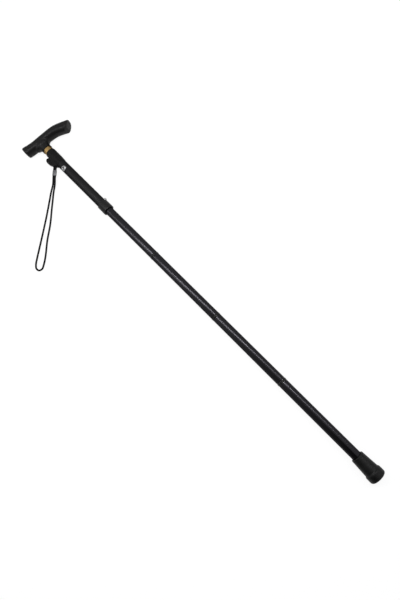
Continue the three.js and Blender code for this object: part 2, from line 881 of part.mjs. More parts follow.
// The strap's cord leaves one socket of the lug, comes down to the surface that the cane lies
// on, turns and ends in the other socket. Points are [down the shaft, out, lift off the surface].
const outwardStrand = [
  [22.5, 30.8, 4.2],
  [31.3, 46.2, 1.2],
  [42.5, 60.9, 0.3],
  [65.4, 90.0, 0],
  [87.4, 119.3, 0],
  [108.4, 148.0, 0],
  [122.0, 166.6, 0],
  [130.2, 176.7, 0],
  [138.2, 181.9, 0],
  [145.8, 180.2, 0],
  [148.4, 173.2, 0],
];
const inwardStrand = [
  [143.8, 164.2, 0],
  [133.1, 150.2, 0],
  [108.8, 124.1, 0],
  [86.1, 96.0, 0],
  [60.8, 69.5, 0.1],
  [48.2, 55.9, 0.3],
  [36.0, 42.2, 1.3],
  [26.0, 27.8, 4.3],
];

function laid([down, out, lift]) {
  const station = cordExit.x - down;
  const height = surfaceHeight(station) + cordRadius + cordLayGap + lift;
  return new THREE.Vector3(station, cordExit.y + out, height);
}

function strapRoute() {
  const crimpEnd = crimpDrop + crimpLength;
  const straight = [-cordSocketDepth, 0, crimpDrop, crimpEnd, crimpEnd + crimpTail];
  const strand = (side) =>
    straight.map((distance) => {
      const point = new THREE.Vector3((side * cordSpacing) / 2, 0, distance);
      return point.applyMatrix4(strapFrame);
    });
  return new THREE.CatmullRomCurve3(
    [...strand(-1), ...outwardStrand.map(laid), ...inwardStrand.map(laid), ...strand(1).toReversed()],
    false,
    'centripetal',
  );
}

function strapCord() {
  const section = new THREE.Shape(
    Array.from({ length: cordSides }, (_, i) => {
      const angle = (2 * Math.PI * i) / cordSides;
      return new THREE.Vector2(cordRadius * Math.cos(angle), cordRadius * Math.sin(angle));
    }),
  );
  return new THREE.ExtrudeGeometry(section, {
    steps: cordSteps,
    extrudePath: strapRoute(),
    bevelEnabled: false,
  });
}

function strapCrimp() {
  const radius = cordRadius + holeClearance + crimpWall;
  const outline = new THREE.Shape();
  outline.absarc(cordSpacing / 2, 0, radius, -Math.PI / 2, Math.PI / 2);
  outline.absarc(-cordSpacing / 2, 0, radius, Math.PI / 2, (3 * Math.PI) / 2);
  const body = new THREE.ExtrudeGeometry(outline, {
    depth: crimpLength - 2 * crimpRounding,
    bevelThickness: crimpRounding,
    bevelSize: crimpRounding,
    bevelOffset: -crimpRounding,
    bevelSegments: 1,
    curveSegments: 5,
  });
  let crimp = solid(body.translate(0, 0, crimpDrop + crimpRounding).applyMatrix4(strapFrame));
  for (const side of [-1, 1]) {
    crimp = crimp.subtract(solid(cordWay(side, crimpDrop - cutMargin, crimpDrop + crimpLength + cutMargin)));
  }
  return geometryOf(crimp);
}

addPiece('strap_cord', strapCord(), blackCord);
addPiece('strap_crimp', strapCrimp(), dullMetal);

export default cane;
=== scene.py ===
import json
import math

import bmesh
import bpy
from mathutils import Matrix, Vector


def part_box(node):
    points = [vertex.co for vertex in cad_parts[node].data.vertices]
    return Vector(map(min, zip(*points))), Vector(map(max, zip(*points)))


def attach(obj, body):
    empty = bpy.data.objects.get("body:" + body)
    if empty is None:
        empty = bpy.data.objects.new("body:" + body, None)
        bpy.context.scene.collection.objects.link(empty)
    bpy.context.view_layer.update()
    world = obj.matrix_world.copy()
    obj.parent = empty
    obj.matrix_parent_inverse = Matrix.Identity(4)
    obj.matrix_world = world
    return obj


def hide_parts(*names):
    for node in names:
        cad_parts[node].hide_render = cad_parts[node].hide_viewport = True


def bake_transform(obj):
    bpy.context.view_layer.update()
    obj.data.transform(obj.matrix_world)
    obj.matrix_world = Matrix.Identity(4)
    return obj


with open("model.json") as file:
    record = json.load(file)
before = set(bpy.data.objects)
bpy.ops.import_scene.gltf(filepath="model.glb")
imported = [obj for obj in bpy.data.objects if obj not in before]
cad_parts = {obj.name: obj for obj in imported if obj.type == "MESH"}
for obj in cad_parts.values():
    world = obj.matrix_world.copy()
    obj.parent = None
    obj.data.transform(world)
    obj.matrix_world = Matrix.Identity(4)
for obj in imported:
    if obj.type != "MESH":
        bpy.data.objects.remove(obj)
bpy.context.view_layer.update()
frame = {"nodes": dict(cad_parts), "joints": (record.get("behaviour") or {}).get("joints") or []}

mm = 0.001
shaftAxis = Vector((1, 0, 0))


# Stations along the shaft and radii, read from the CAD boxes

def lowEnd(node):
    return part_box(node)[0].x


def highEnd(node):
    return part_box(node)[1].x


def midStation(node):
    return (lowEnd(node) + highEnd(node)) / 2


def reachUp(node):
    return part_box(node)[1].z


seatGap = 0.2 * mm          # between the gold ring and the handle
overcut = 1 * mm            # how far a cutting shape stands past what it cuts
goldLow, goldHigh = lowEnd("handle_collar"), highEnd("handle_collar")
goldRadius = reachUp("handle_collar")
handleSeat = goldHigh + seatGap
tubeRadius = reachUp("section_3_tube")
upperRadius = reachUp("upper_tube")


def addObject(name, data):
    item = bpy.data.objects.new(name, data)
    bpy.context.scene.collection.objects.link(item)
    return item


# Camera: above the lower half of the shaft, leaning towards the handle, and rolled so that the
# shaft runs from the top left to the bottom right

cameraSet = {
    "place": (0.2312337, 0, 0.8411526),
    "lean": 17.62571,       # degrees, from straight down towards the handle
    "roll": 44.7498,        # degrees, of the shaft from the level in the picture
    "lens": 27, "sensor": 36, "shift": (0.0475, -0.0458),
    "clipStart": 0.01,
}


def makeCamera():
    lean, roll = math.radians(cameraSet["lean"]), math.radians(cameraSet["roll"])
    look = Vector((math.sin(lean), 0, -math.cos(lean)))
    downShaft = Vector((-math.cos(lean), 0, -math.sin(lean)))
    acrossShaft = Vector((0, -1, 0))
    right = math.cos(roll) * downShaft + math.sin(roll) * acrossShaft
    up = -math.sin(roll) * downShaft + math.cos(roll) * acrossShaft
    lens = bpy.data.cameras.new("camera")
    lens.lens = cameraSet["lens"]
    lens.sensor_width = cameraSet["sensor"]
    lens.shift_x, lens.shift_y = cameraSet["shift"]
    lens.clip_start = cameraSet["clipStart"]
    camera = addObject("camera", lens)
    turn = Matrix((right, up, -look)).transposed().to_4x4()
    camera.matrix_world = Matrix.Translation(cameraSet["place"]) @ turn
    bpy.context.scene.camera = camera


makeCamera()
print("camera set")


# Materials: every finish is a Principled shader with noise on Object coordinates

patternSet = {
    # the part of a pattern's range over which its colours and its roughness change
    "colourSpan": (0.3, 0.7), "roughSpan": (0.35, 0.65),
}


class Finish:
    # A material under construction, with short ways to add its nodes

    def __init__(self, name, metallic=0.0, specular=0.5, edgeTint=1.0):
        self.material = bpy.data.materials.new(name)
        self.material.use_nodes = True
        self.nodes = self.material.node_tree.nodes
        self.links = self.material.node_tree.links
        self.shader = self.nodes["Principled BSDF"]
        self.shader.inputs["Metallic"].default_value = metallic
        self.shader.inputs["Specular IOR Level"].default_value = specular
        self.shader.inputs["Specular Tint"].default_value = (edgeTint, edgeTint, edgeTint, 1)
        self.coordinates = self.nodes.new("ShaderNodeTexCoord")
        self.lastBump = None

    def noise(self, size, detail, stretch=(1, 1, 1)):
        # size of the pattern in metres; stretch is how much longer it is along each axis
        mapping = self.nodes.new("ShaderNodeMapping")
        mapping.inputs["Scale"].default_value = [1 / s for s in stretch]
        pattern = self.nodes.new("ShaderNodeTexNoise")
        pattern.inputs["Scale"].default_value = 1 / size
        pattern.inputs["Detail"].default_value = detail
        self.links.new(self.coordinates.outputs["Object"], mapping.inputs["Vector"])
        self.links.new(mapping.outputs["Vector"], pattern.inputs["Vector"])
        return pattern.outputs["Fac"]

    def between(self, source, low, high, span):
        # source taken from its span to low-high
        spread = self.nodes.new("ShaderNodeMapRange")
        for name, value in zip(("From Min", "From Max", "To Min", "To Max"), (*span, low, high)):
            spread.inputs[name].default_value = value
        self.links.new(source, spread.inputs["Value"])
        return spread.outputs["Result"]

    def colour(self, source, dark, light):
        ramp = self.nodes.new("ShaderNodeValToRGB")
        stops = ramp.color_ramp.elements
        stops[0].position, stops[1].position = patternSet["colourSpan"]
        stops[0].color, stops[1].color = (*dark, 1), (*light, 1)
        self.links.new(source, ramp.inputs["Fac"])
        self.links.new(ramp.outputs["Color"], self.shader.inputs["Base Color"])

    def rough(self, source, low, high):
        spread = self.between(source, low, high, patternSet["roughSpan"])
        self.links.new(spread, self.shader.inputs["Roughness"])

    def bump(self, source, depth):
        node = self.nodes.new("ShaderNodeBump")
        node.inputs["Distance"].default_value = depth
        node.inputs["Strength"].default_value = 1
        self.links.new(source, node.inputs["Height"])
        if self.lastBump:
            self.links.new(self.lastBump, node.inputs["Normal"])
        self.lastBump = node.outputs["Normal"]
        self.links.new(self.lastBump, self.shader.inputs["Normal"])

    def math(self, operation, first, second=0.0):
        node = self.nodes.new("ShaderNodeMath")
        node.operation = operation
        for socket, value in zip(node.inputs, (first, second)):
            if isinstance(value, (int, float)):
                socket.default_value = value
            else:
                self.links.new(value, socket)
        return node.outputs["Value"]

    def mixed(self, first, second, share):
        # share of the first, and the rest of the second
        return self.math("ADD", self.math("MULTIPLY", first, share),
                         self.math("MULTIPLY", second, 1 - share))


# patchShare is how far the roughness follows the patches; the rest follows the grain
plasticSet = {
    "dark": (0.0030, 0.0030, 0.0031), "light": (0.0056, 0.0056, 0.0058),
    "patch": 18 * mm, "patchDetail": 3, "patchShare": 0.6,
    "grain": 0.45 * mm, "grainDetail": 2, "grainDepth": 0.018 * mm,
    "rough": (0.37, 0.47), "specular": 0.12,
}
collarPlasticSet = {**plasticSet, "grain": 0.5 * mm, "rough": (0.34, 0.44), "specular": 0.15}
rubberSet = {
    "dark": (0.0020, 0.0020, 0.0020), "light": (0.0042, 0.0042, 0.0042),
    "patch": 6 * mm, "patchDetail": 5, "patchShare": 1,
    "grain": 0.5 * mm, "grainDetail": 3, "grainDepth": 0.04 * mm,
    "rough": (0.42, 0.52), "specular": 0.15,
}
strapRubberSet = {**rubberSet, "specular": 0.085}
nylonSet = {
    "dark": (0.60, 0.57, 0.50), "light": (0.72, 0.70, 0.64),
    "patch": 7 * mm, "patchDetail": 4, "patchShare": 1,
    "grain": 0.3 * mm, "grainDetail": 3, "grainDepth": 0.015 * mm,
    "rough": (0.42, 0.58), "specular": 0.5,
}


def moulded(name, s):
    finish = Finish(name, specular=s["specular"])
    patch = finish.noise(s["patch"], s["patchDetail"])
    grain = finish.noise(s["grain"], s["grainDetail"])
    finish.colour(patch, s["dark"], s["light"])
    finish.rough(finish.mixed(patch, grain, s["patchShare"]), *s["rough"])
    finish.bump(grain, s["grainDepth"])
    return finish.material


anodisedSet = {
    "dark": (0.0188, 0.0182, 0.0208), "light": (0.0232, 0.0226, 0.0252), "edgeTint": 0.5,
    "streak": 0.35 * mm, "streakDetail": 4, "streakLength": 160, "streakDepth": 0.001 * mm,
    "grain": 0.12 * mm, "grainDetail": 2, "grainDepth": 0.004 * mm, "rough": (0.19, 0.26),
}
# the upper tube is darker and rougher than the tubes that slide and fold
dullAnodisedSet = {
    **anodisedSet,
    "dark": (0.0146, 0.0145, 0.0153), "light": (0.0180, 0.0179, 0.0187), "rough": (0.42, 0.52),
}


def anodised(name, s):
    finish = Finish(name, metallic=1.0, edgeTint=s["edgeTint"])
    streak = finish.noise(s["streak"], s["streakDetail"], (s["streakLength"], 1, 1))
    grain = finish.noise(s["grain"], s["grainDetail"])
    finish.colour(streak, s["dark"], s["light"])
    finish.rough(streak, *s["rough"])
    finish.bump(streak, s["streakDepth"])
    finish.bump(grain, s["grainDepth"])
    return finish.material


metalSet = {
    "mark": 0.25 * mm, "markDetail": 3, "markDepth": 0.006 * mm,
    "stretch": (1, 25, 25),     # of the tool marks, which run round the shaft or along it
    "patch": 9 * mm, "patchDetail": 4, "markShare": 0.5, "edgeTint": 1.0,
}
goldSet = {
    **metalSet, "edgeTint": 0.55,
    "dark": (0.215, 0.138, 0.049), "light": (0.30, 0.198, 0.082), "rough": (0.34, 0.46),
}
steelSet = {
    **metalSet,
    "dark": (0.52, 0.52, 0.53), "light": (0.68, 0.68, 0.69), "rough": (0.16, 0.28),
}
platedSet = {
    **metalSet,
    "dark": (0.155, 0.155, 0.158), "light": (0.235, 0.235, 0.239), "rough": (0.20, 0.34),
}
drawnSet = {
    **metalSet, "stretch": (40, 1, 1),
    "dark": (0.44, 0.44, 0.45), "light": (0.56, 0.56, 0.57), "rough": (0.30, 0.42),
}
crimpedSet = {
    **metalSet, "mark": 0.6 * mm, "markDepth": 0.03 * mm, "stretch": (1, 1, 1),
    "dark": (0.060, 0.060, 0.064), "light": (0.115, 0.115, 0.12), "rough": (0.40, 0.58),
}


def toolMarked(name, s):
    finish = Finish(name, metallic=1.0, edgeTint=s["edgeTint"])
    marks = finish.noise(s["mark"], s["markDetail"], s["stretch"])
    patch = finish.noise(s["patch"], s["patchDetail"])
    finish.colour(patch, s["dark"], s["light"])
    finish.rough(finish.mixed(marks, patch, s["markShare"]), *s["rough"])
    finish.bump(marks, s["markDepth"])
    return finish.material


braidSet = {
    "dark": (0.0025, 0.0025, 0.0027), "light": (0.0090, 0.0090, 0.0096),
    "strands": 8, "pitch": 7.5 * mm,        # a strand's full turn along the cord
    "depth": 0.22 * mm, "fibre": 0.12 * mm, "fibreDetail": 4, "fibreDepth": 0.03 * mm,
    "grooveShadeShare": 0.8, "shadeFibreSpan": (0.45, 0.95),       # of the colour: the grooves between the strands darker as painted shade, with the fibres' random tone for the rest
    "rough": (0.75, 0.9), "specular": 0.08,
}


def braid(name):
    # The cord's own UV map: u runs once round the cord, v is the distance along it in metres
    s = braidSet
    finish = Finish(name, specular=s["specular"])
    split = finish.nodes.new("ShaderNodeSeparateXYZ")
    finish.links.new(finish.coordinates.outputs["UV"], split.inputs["Vector"])
    along = finish.math("DIVIDE", split.outputs["Y"], s["pitch"])
    waves = []
    for way in (1, -1):
        spiral = finish.math("ADD", split.outputs["X"], finish.math("MULTIPLY", along, way))
        phase = finish.math("MULTIPLY", spiral, math.pi * s["strands"])
        waves.append(finish.math("ABSOLUTE", finish.math("SINE", phase)))
    # the weave is high on the strands and low between them; the colour follows it, so the grooves get
    # painted shade
    weave = finish.math("MAXIMUM", *waves)
    fibre = finish.noise(s["fibre"], s["fibreDetail"])
    mixed = finish.mixed(weave, fibre, s["grooveShadeShare"])
    finish.colour(finish.between(mixed, 0, 1, s["shadeFibreSpan"]), s["dark"], s["light"])
    finish.rough(fibre, *s["rough"])
    finish.bump(weave, s["depth"])
    finish.bump(fibre, s["fibreDepth"])
    return finish.material


handleBlack = moulded("handle_plastic", plasticSet)
collarBlack = moulded("collar_plastic", collarPlasticSet)
tipRubber = moulded("tip_rubber", rubberSet)
strapRubber = moulded("strap_rubber", strapRubberSet)
paleNylon = moulded("pale_nylon", nylonSet)
upperAnodised = anodised("upper_tube_anodised", dullAnodisedSet)
lowerAnodised = anodised("lower_tube_anodised", anodisedSet)
gold = toolMarked("gold_ring", goldSet)
steel = toolMarked("bright_steel", steelSet)
plated = toolMarked("plated_steel", platedSet)
drawnAluminium = toolMarked("drawn_aluminium", drawnSet)
crimpMetal = toolMarked("crimped_metal", crimpedSet)
cordBraid = braid("braided_cord")
print("finishes made")


# Ways of making meshes

meshSet = {
    "shaftSteps": 128,      # round what is turned about the shaft
    "smallSteps": 64,       # round the stud and the button
    "boreSteps": 48, "strandSteps": 32, "cordSides": 16,
    "cornerSegments": 5,
    "weld": 1e-6, "axisWeld": 1e-7,
}


def asObject(name, bm):
    mesh = bpy.data.meshes.new(name)
    bm.to_mesh(mesh)
    bm.free()
    return addObject(name, mesh)


def addPiece(name, bm, body, material, replaces, crease=32, blend=None):
    # crease in degrees: a sharper edge isn't shaded smooth
    bmesh.ops.remove_doubles(bm, verts=bm.verts, dist=meshSet["weld"])
    bmesh.ops.recalc_face_normals(bm, faces=bm.faces)
    piece = asObject(name, bm)
    for face in piece.data.polygons:
        face.use_smooth = True
    piece.data.set_sharp_from_angle(angle=math.radians(crease))
    piece.data.materials.append(material)
    if blend:
        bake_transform(piece)
    else:
        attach(piece, body)
    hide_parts(*replaces)
    print("made", name)
    return piece


def newVerts(made):
    return [g for g in made["geom"] if isinstance(g, bmesh.types.BMVert)]


def turned(profile, steps=meshSet["shaftSteps"]):
    # profile: (station, radius, rounding) of each corner of the section, turned about the shaft
    bm = bmesh.new()
    corners = [bm.verts.new((x, 0, r)) for x, r, *_ in profile]
    bm.faces.new(corners)
    roundings = [corner[2] if len(corner) > 2 else 0 for corner in profile]
    for size in sorted(set(roundings) - {0}):
        chosen = [v for v, rounding in zip(corners, roundings) if rounding == size]
        bmesh.ops.bevel(bm, geom=chosen, offset=size, offset_type="OFFSET", affect="VERTICES",
                        segments=meshSet["cornerSegments"], profile=0.5, material=-1)
    bmesh.ops.delete(bm, geom=list(bm.faces), context="FACES_ONLY")
    onAxis = [e for e in bm.edges if all(v.co.z < meshSet["axisWeld"] for v in e.verts)]
    bmesh.ops.delete(bm, geom=onAxis, context="EDGES")
    bmesh.ops.spin(bm, geom=list(bm.edges), cent=(0, 0, 0), axis=shaftAxis, angle=2 * math.pi,
                   steps=steps, use_merge=True)
    bmesh.ops.remove_doubles(bm, verts=bm.verts, dist=meshSet["axisWeld"])
    bmesh.ops.recalc_face_normals(bm, faces=bm.faces)
    return bm


def turnedTube(node, outer, inner, rounding):
    low, high = lowEnd(node), highEnd(node)
    return turned([(low, inner, rounding), (low, outer, rounding), (high, outer, rounding),
                   (high, inner, rounding)])


def turnedBar(low, high, radius, steps=meshSet["boreSteps"]):
    return turned([(low, 0), (low, radius), (high, radius), (high, 0)], steps)


def pointedAt(bm, direction, station):
    # A shape turned about the shaft's axis is turned to point along direction, from a station
    turn = shaftAxis.rotation_difference(Vector(direction)).to_matrix().to_4x4()
    bmesh.ops.transform(bm, matrix=Matrix.Translation((station, 0, 0)) @ turn, verts=bm.verts)
    return bm


def swept(placements, sides, squareness=2.0, distances=None):
    # A unit ring, round or squared, carried through the placements, with both ends closed
    bm = bmesh.new()
    around = bm.verts.layers.int.new("around")
    along = bm.verts.layers.float.new("along")
    ring = bmesh.ops.create_circle(bm, segments=sides, radius=1)["verts"]
    power = 2 / squareness
    for i, v in enumerate(ring):
        angle = math.atan2(v.co.y, v.co.x)
        c, s = math.cos(angle), math.sin(angle)
        v.co = (math.copysign(abs(c) ** power, c), math.copysign(abs(s) ** power, s), 0)
        v[around] = i
    first = ring
    bmesh.ops.transform(bm, matrix=placements[0], verts=ring)
    for k in range(1, len(placements)):
        held = set(ring)
        edges = list({e for v in ring for e in v.link_edges if held.issuperset(e.verts)})
        ring = newVerts(bmesh.ops.extrude_edge_only(bm, edges=edges))
        step = placements[k] @ placements[k - 1].inverted()
        bmesh.ops.transform(bm, matrix=step, verts=ring)
        if distances:
            for v in ring:
                v[along] = distances[k]
    if distances:
        mapAround(bm, around, along, sides)
    for end in (first, ring):
        edges = [e for e in {e for v in end for e in v.link_edges} if e.is_boundary]
        bmesh.ops.contextual_create(bm, geom=edges)
    bmesh.ops.recalc_face_normals(bm, faces=bm.faces)
    return bm


def mapAround(bm, around, along, sides):
    uv = bm.loops.layers.uv.new("UVMap")
    for face in bm.faces:
        turnsOver = {0, sides - 1} <= {v[around] for v in face.verts}
        for loop in face.loops:
            place = loop.vert[around]
            if turnsOver and place == 0:
                place = sides
            loop[uv].uv = (place / sides, loop.vert[along])


def finished(working, *others):
    # The working object's mesh with its modifiers applied; the objects used are removed
    bpy.context.view_layer.update()
    graph = bpy.context.evaluated_depsgraph_get()
    bm = bmesh.new()
    bm.from_mesh(bpy.data.meshes.new_from_object(working.evaluated_get(graph)))
    for used in (working, *others):
        bpy.data.objects.remove(used)
    return bm


def combined(base, other, operation):
    working, tool = asObject("working", base), asObject("tool", other)
    modifier = working.modifiers.new("combine", "BOOLEAN")
    modifier.operation = operation
    modifier.solver = "EXACT"
    modifier.object = tool
    return finished(working, tool)


def smoothed(bm, verts, passes):
    for _ in range(passes):
        bmesh.ops.smooth_vert(bm, verts=list(verts), factor=0.5,
                              use_axis_x=True, use_axis_y=True, use_axis_z=True)


def softened(bm, voxel, passes):
    # One even skin over a joined form, with its inner corners filled by smoothing
    working = asObject("working", bm)
    remesh = working.modifiers.new("skin", "REMESH")
    remesh.mode = "VOXEL"
    remesh.voxel_size = voxel
    bm = finished(working)
    smoothed(bm, bm.verts, passes)
    return bm


# Lines through points, as centripetal Catmull-Rom curves

def curveThrough(points, perSpan):
    points = [Vector(p) for p in points]
    points = [2 * points[0] - points[1], *points, 2 * points[-1] - points[-2]]
    line = []
    for a, b, c, d in zip(points, points[1:], points[2:], points[3:]):
        ab, bc, cd = ((q - p).length ** 0.5 for p, q in ((a, b), (b, c), (c, d)))
        leave = ((b - a) / ab - (c - a) / (ab + bc) + (c - b) / bc) * bc
        arrive = ((c - b) / bc - (d - b) / (bc + cd) + (d - c) / cd) * bc
        for i in range(perSpan):
            t = i / perSpan
            line.append((2 * t ** 3 - 3 * t ** 2 + 1) * b + (t ** 3 - 2 * t ** 2 + t) * leave
                        + (3 * t ** 2 - 2 * t ** 3) * c + (t ** 3 - t ** 2) * arrive)
    return [*line, points[-2]]


def lengthAlong(line):
    total = [0.0]
    for a, b in zip(line, line[1:]):
        total.append(total[-1] + (b - a).length)
    return total


def pointAlong(line, distances, distance):
    # Point and heading at a distance along a line
    i = 1
    while i < len(line) - 1 and distances[i] < distance:
        i += 1
    share = (distance - distances[i - 1]) / (distances[i] - distances[i - 1])
    return line[i - 1].lerp(line[i], share), (line[i] - line[i - 1]).normalized()


# Wrist strap's cord: out of one socket in the lug, down to the surface that the cane lies on,
# round, and back into the other socket. The route is the CAD solid's own.

strapSet = {
    "diameter": 4 * mm,
    "strandGap": 0.2 * mm,
    "exitDrop": 35.3 * mm,      # below the gold ring
    "exitReach": upperRadius + 5.15 * mm,
    "socketDepth": 2.1 * mm,
    "angle": 50,                # degrees from the shaft
    "dip": 0.14,
    "crimpDrop": 8 * mm,
    "crimpLength": 12 * mm,
    "crimpTail": 4 * mm,
    "layGap": 0.1 * mm,
    # millimetres: down the shaft, out, lift off the surface
    "outward": [
        (22.5, 30.8, 4.2), (31.3, 46.2, 1.2), (42.5, 60.9, 0.3), (65.4, 90.0, 0), (87.4, 119.3, 0),
        (108.4, 148.0, 0), (122.0, 166.6, 0), (130.2, 176.7, 0), (138.2, 181.9, 0),
        (145.8, 180.2, 0), (148.4, 173.2, 0),
    ],
    "inward": [
        (143.8, 164.2, 0), (133.1, 150.2, 0), (108.8, 124.1, 0), (86.1, 96.0, 0),
        (60.8, 69.5, 0.1), (48.2, 55.9, 0.3), (36.0, 42.2, 1.3), (26.0, 27.8, 4.3),
    ],
    "perSpan": 12,              # points of the line in each span of the route
}
surfaceSet = {
    "tipStation": 6.5 * mm, "tipDepth": 15.1 * mm,
    "handleStation": handleSeat + 26.3 * mm, "handleDepth": 13.5 * mm,
}


def surfaceHeight(station):
    # The cane lies on its tip's flange and on its handle's side
    s = surfaceSet
    share = (station - s["tipStation"]) / (s["handleStation"] - s["tipStation"])
    return -(s["tipDepth"] + (s["handleDepth"] - s["tipDepth"]) * share)


strapTurn = math.radians(strapSet["angle"])
strapHeading = Vector((-math.cos(strapTurn), math.sin(strapTurn), -strapSet["dip"])).normalized()
strapSide = Vector((-math.sin(strapTurn), -math.cos(strapTurn), 0))
strapExit = Vector((goldLow - strapSet["exitDrop"], strapSet["exitReach"], 0))
strapFrame = Matrix((strapSide, strapHeading.cross(strapSide), strapHeading)).transposed().to_4x4()
strapFrame = Matrix.Translation(strapExit) @ strapFrame
strandOffset = (strapSet["diameter"] + strapSet["strandGap"]) / 2
strapRadius = strapSet["diameter"] / 2


def strapRoute():
    s = strapSet

    def laid(point):
        down, out, lift = (size * mm for size in point)
        station = strapExit.x - down
        height = surfaceHeight(station) + strapRadius + s["layGap"] + lift
        return Vector((station, strapExit.y + out, height))

    crimpEnd = s["crimpDrop"] + s["crimpLength"]
    straight = [-s["socketDepth"], 0, s["crimpDrop"], crimpEnd, crimpEnd + s["crimpTail"]]
    leaving = [strapFrame @ Vector((-strandOffset, 0, distance)) for distance in straight]
    coming = [strapFrame @ Vector((strandOffset, 0, distance)) for distance in reversed(straight)]
    loop = [laid(point) for point in (*s["outward"], *s["inward"])]
    return curveThrough([*leaving, *loop, *coming], s["perSpan"])


def tubeAlong(line, radius):
    # A ring at each point, square to the line, turned no more than the line turns
    distances = lengthAlong(line)
    spans = [(after - before).normalized() for before, after in zip(line, line[1:])]
    between = [(a + b).normalized() for a, b in zip(spans, spans[1:])]
    side = spans[0].orthogonal().normalized()
    placements = []
    for point, heading in zip(line, [spans[0], *between, spans[-1]]):
        side = (side - heading * side.dot(heading)).normalized()
        turn = Matrix((side, heading.cross(side), heading)).transposed()
        ring = turn @ Matrix.Diagonal((radius, radius, radius))
        placements.append(Matrix.Translation(point) @ ring.to_4x4())
    return swept(placements, meshSet["cordSides"], distances=distances)


strapLine = strapRoute()
strapCord = addPiece("wrist_cord", tubeAlong(strapLine, strapRadius), "upper",
                     cordBraid, ["strap_cord"], crease=60)
strapLength = lengthAlong(strapLine)[-1]
lugExit = strapLine[strapSet["perSpan"]]        # the line's first span lies in the socket
print("strap cord length", round(strapLength, 4))


# Crimp that holds the cord's two strands together

crimpSet = {
    "wall": 0.35 * mm, "clearance": 0.2 * mm, "wayGap": 0.05 * mm, "edge": 0.35 * mm,
    "dent": 0.22 * mm, "dents": 3,
    "squareness": 2.9, "sides": 48, "rings": 36,
}


def strandWays(low, high, radius):
    # Bars along the two strands, low and high from where they leave the lug, to cut ways for them
    turn = Matrix.Rotation(-math.pi / 2, 3, "Y")
    for side in (-strandOffset, strandOffset):
        way = turnedBar(low, high, radius, meshSet["strandSteps"])
        bmesh.ops.rotate(way, verts=way.verts, cent=(0, 0, 0), matrix=turn)
        place = strapFrame @ Matrix.Translation((side, 0, 0))
        bmesh.ops.transform(way, matrix=place, verts=way.verts)
        yield way


def crimpSleeve():
    # A band round both strands, pressed in by the tool's jaws, with the strands' ways cut through
    s = crimpSet
    radius = strapRadius + s["clearance"] + s["wall"]
    low, length = strapSet["crimpDrop"], strapSet["crimpLength"]
    placements = []
    for i in range(s["rings"] + 1):
        share = i / s["rings"]
        short = max(s["edge"] - min(share, 1 - share) * length, 0)
        rounding = s["edge"] - math.sqrt(s["edge"] ** 2 - short ** 2)
        dent = s["dent"] * max(0, math.sin(math.pi * s["dents"] * share)) ** 2
        size = Matrix.Diagonal((radius + strandOffset - rounding, radius - rounding - dent, 1, 1))
        placements.append(strapFrame @ Matrix.Translation((0, 0, low + share * length)) @ size)
    body = swept(placements, s["sides"], s["squareness"])
    for way in strandWays(low - overcut, low + length + overcut, strapRadius + s["wayGap"]):
        body = combined(body, way, "DIFFERENCE")
    return body


crimp = addPiece("crimp_sleeve", crimpSleeve(), "upper", crimpMetal, ["strap_crimp"],
                 crease=40)
tuple(lugExit)
[tuple(p) for p in strapLine]
print("wrist strap laid")


# Surface, lamps and world

studioSet = {
    "floorSize": 8.0,
    "floorColour": (0.74, 0.74, 0.74),
    "whiteShare": 0.9,          # of the floor's brightness in the picture; lit paint gives the rest
    "paintGain": 1.25,          # with which the paint reaches that rest under these lamps
    "worldFill": 0.36,
    "lamps": [
        # name, place, length, width, degrees from the shaft, watts
        ("long_box", (0.45, -0.49, 1.2), 2.4, 0.10, 55, 10.5),
        ("middle_box", (0.63, -0.233, 1.22), 1.2, 0.10, 55, 5.5),
        ("handle_box", (1.45, 0.77, 1.2), 1.1, 0.16, 4.0, 5.5),
    ],
    # dark sheet along the strap's side of the shaft, seen only in the gloss, where it paints shade into
    # the tubes' reflections: it thins out up the shaft
    "flag": {"low": (-1.2, 0.75, 0.0), "high": (1.1, -0.15, 1.5), "dark": 0.67, "fade": 1.0},
}


def seenDirectly(nodes, links):
    # 1 for camera, mirror and glass rays, so that they all show the same white
    path = nodes.new("ShaderNodeLightPath")
    total = path.outputs["Is Camera Ray"]
    for ray in ("Is Glossy Ray", "Is Transmission Ray"):
        either = nodes.new("ShaderNodeMath")
        either.operation = "MAXIMUM"
        links.new(total, either.inputs[0])
        links.new(path.outputs[ray], either.inputs[1])
        total = either.outputs["Value"]
    return total


def mixedShaders(nodes, links, *sources):
    # sources: the factor and the two shaders
    mix = nodes.new("ShaderNodeMixShader")
    for source, socket in zip(sources, mix.inputs):
        links.new(source, socket)
    return mix.outputs["Shader"]


def whitePaper():
    material = bpy.data.materials.new("white_paper")
    material.use_nodes = True
    nodes, links = material.node_tree.nodes, material.node_tree.links
    nodes.remove(nodes["Principled BSDF"])
    lit, shaded = nodes.new("ShaderNodeBsdfDiffuse"), nodes.new("ShaderNodeBsdfDiffuse")
    paint = studioSet["paintGain"] * (1 - studioSet["whiteShare"])
    lit.inputs["Color"].default_value = (*studioSet["floorColour"], 1)
    shaded.inputs["Color"].default_value = (paint, paint, paint, 1)
    glow = nodes.new("ShaderNodeEmission")
    glow.inputs["Strength"].default_value = studioSet["whiteShare"]
    white = nodes.new("ShaderNodeAddShader")
    links.new(shaded.outputs["BSDF"], white.inputs[0])
    links.new(glow.outputs["Emission"], white.inputs[1])
    seen = mixedShaders(nodes, links, seenDirectly(nodes, links), lit.outputs["BSDF"],
                        white.outputs["Shader"])
    # clear from below, so that the cane can be seen there
    side, clear = nodes.new("ShaderNodeNewGeometry"), nodes.new("ShaderNodeBsdfTransparent")
    sheet = mixedShaders(nodes, links, side.outputs["Backfacing"], seen, clear.outputs["BSDF"])
    links.new(sheet, nodes["Material Output"].inputs["Surface"])
    return material


def makeFloor():
    bm = bmesh.new()
    bmesh.ops.create_grid(bm, x_segments=1, y_segments=1, size=studioSet["floorSize"] / 2)
    bmesh.ops.translate(bm, verts=bm.verts, vec=(surfaceSet["handleStation"] / 2, 0, 0))
    for v in bm.verts:
        v.co.z = surfaceHeight(v.co.x)
    floor = asObject("floor", bm)
    floor.data.materials.append(whitePaper())


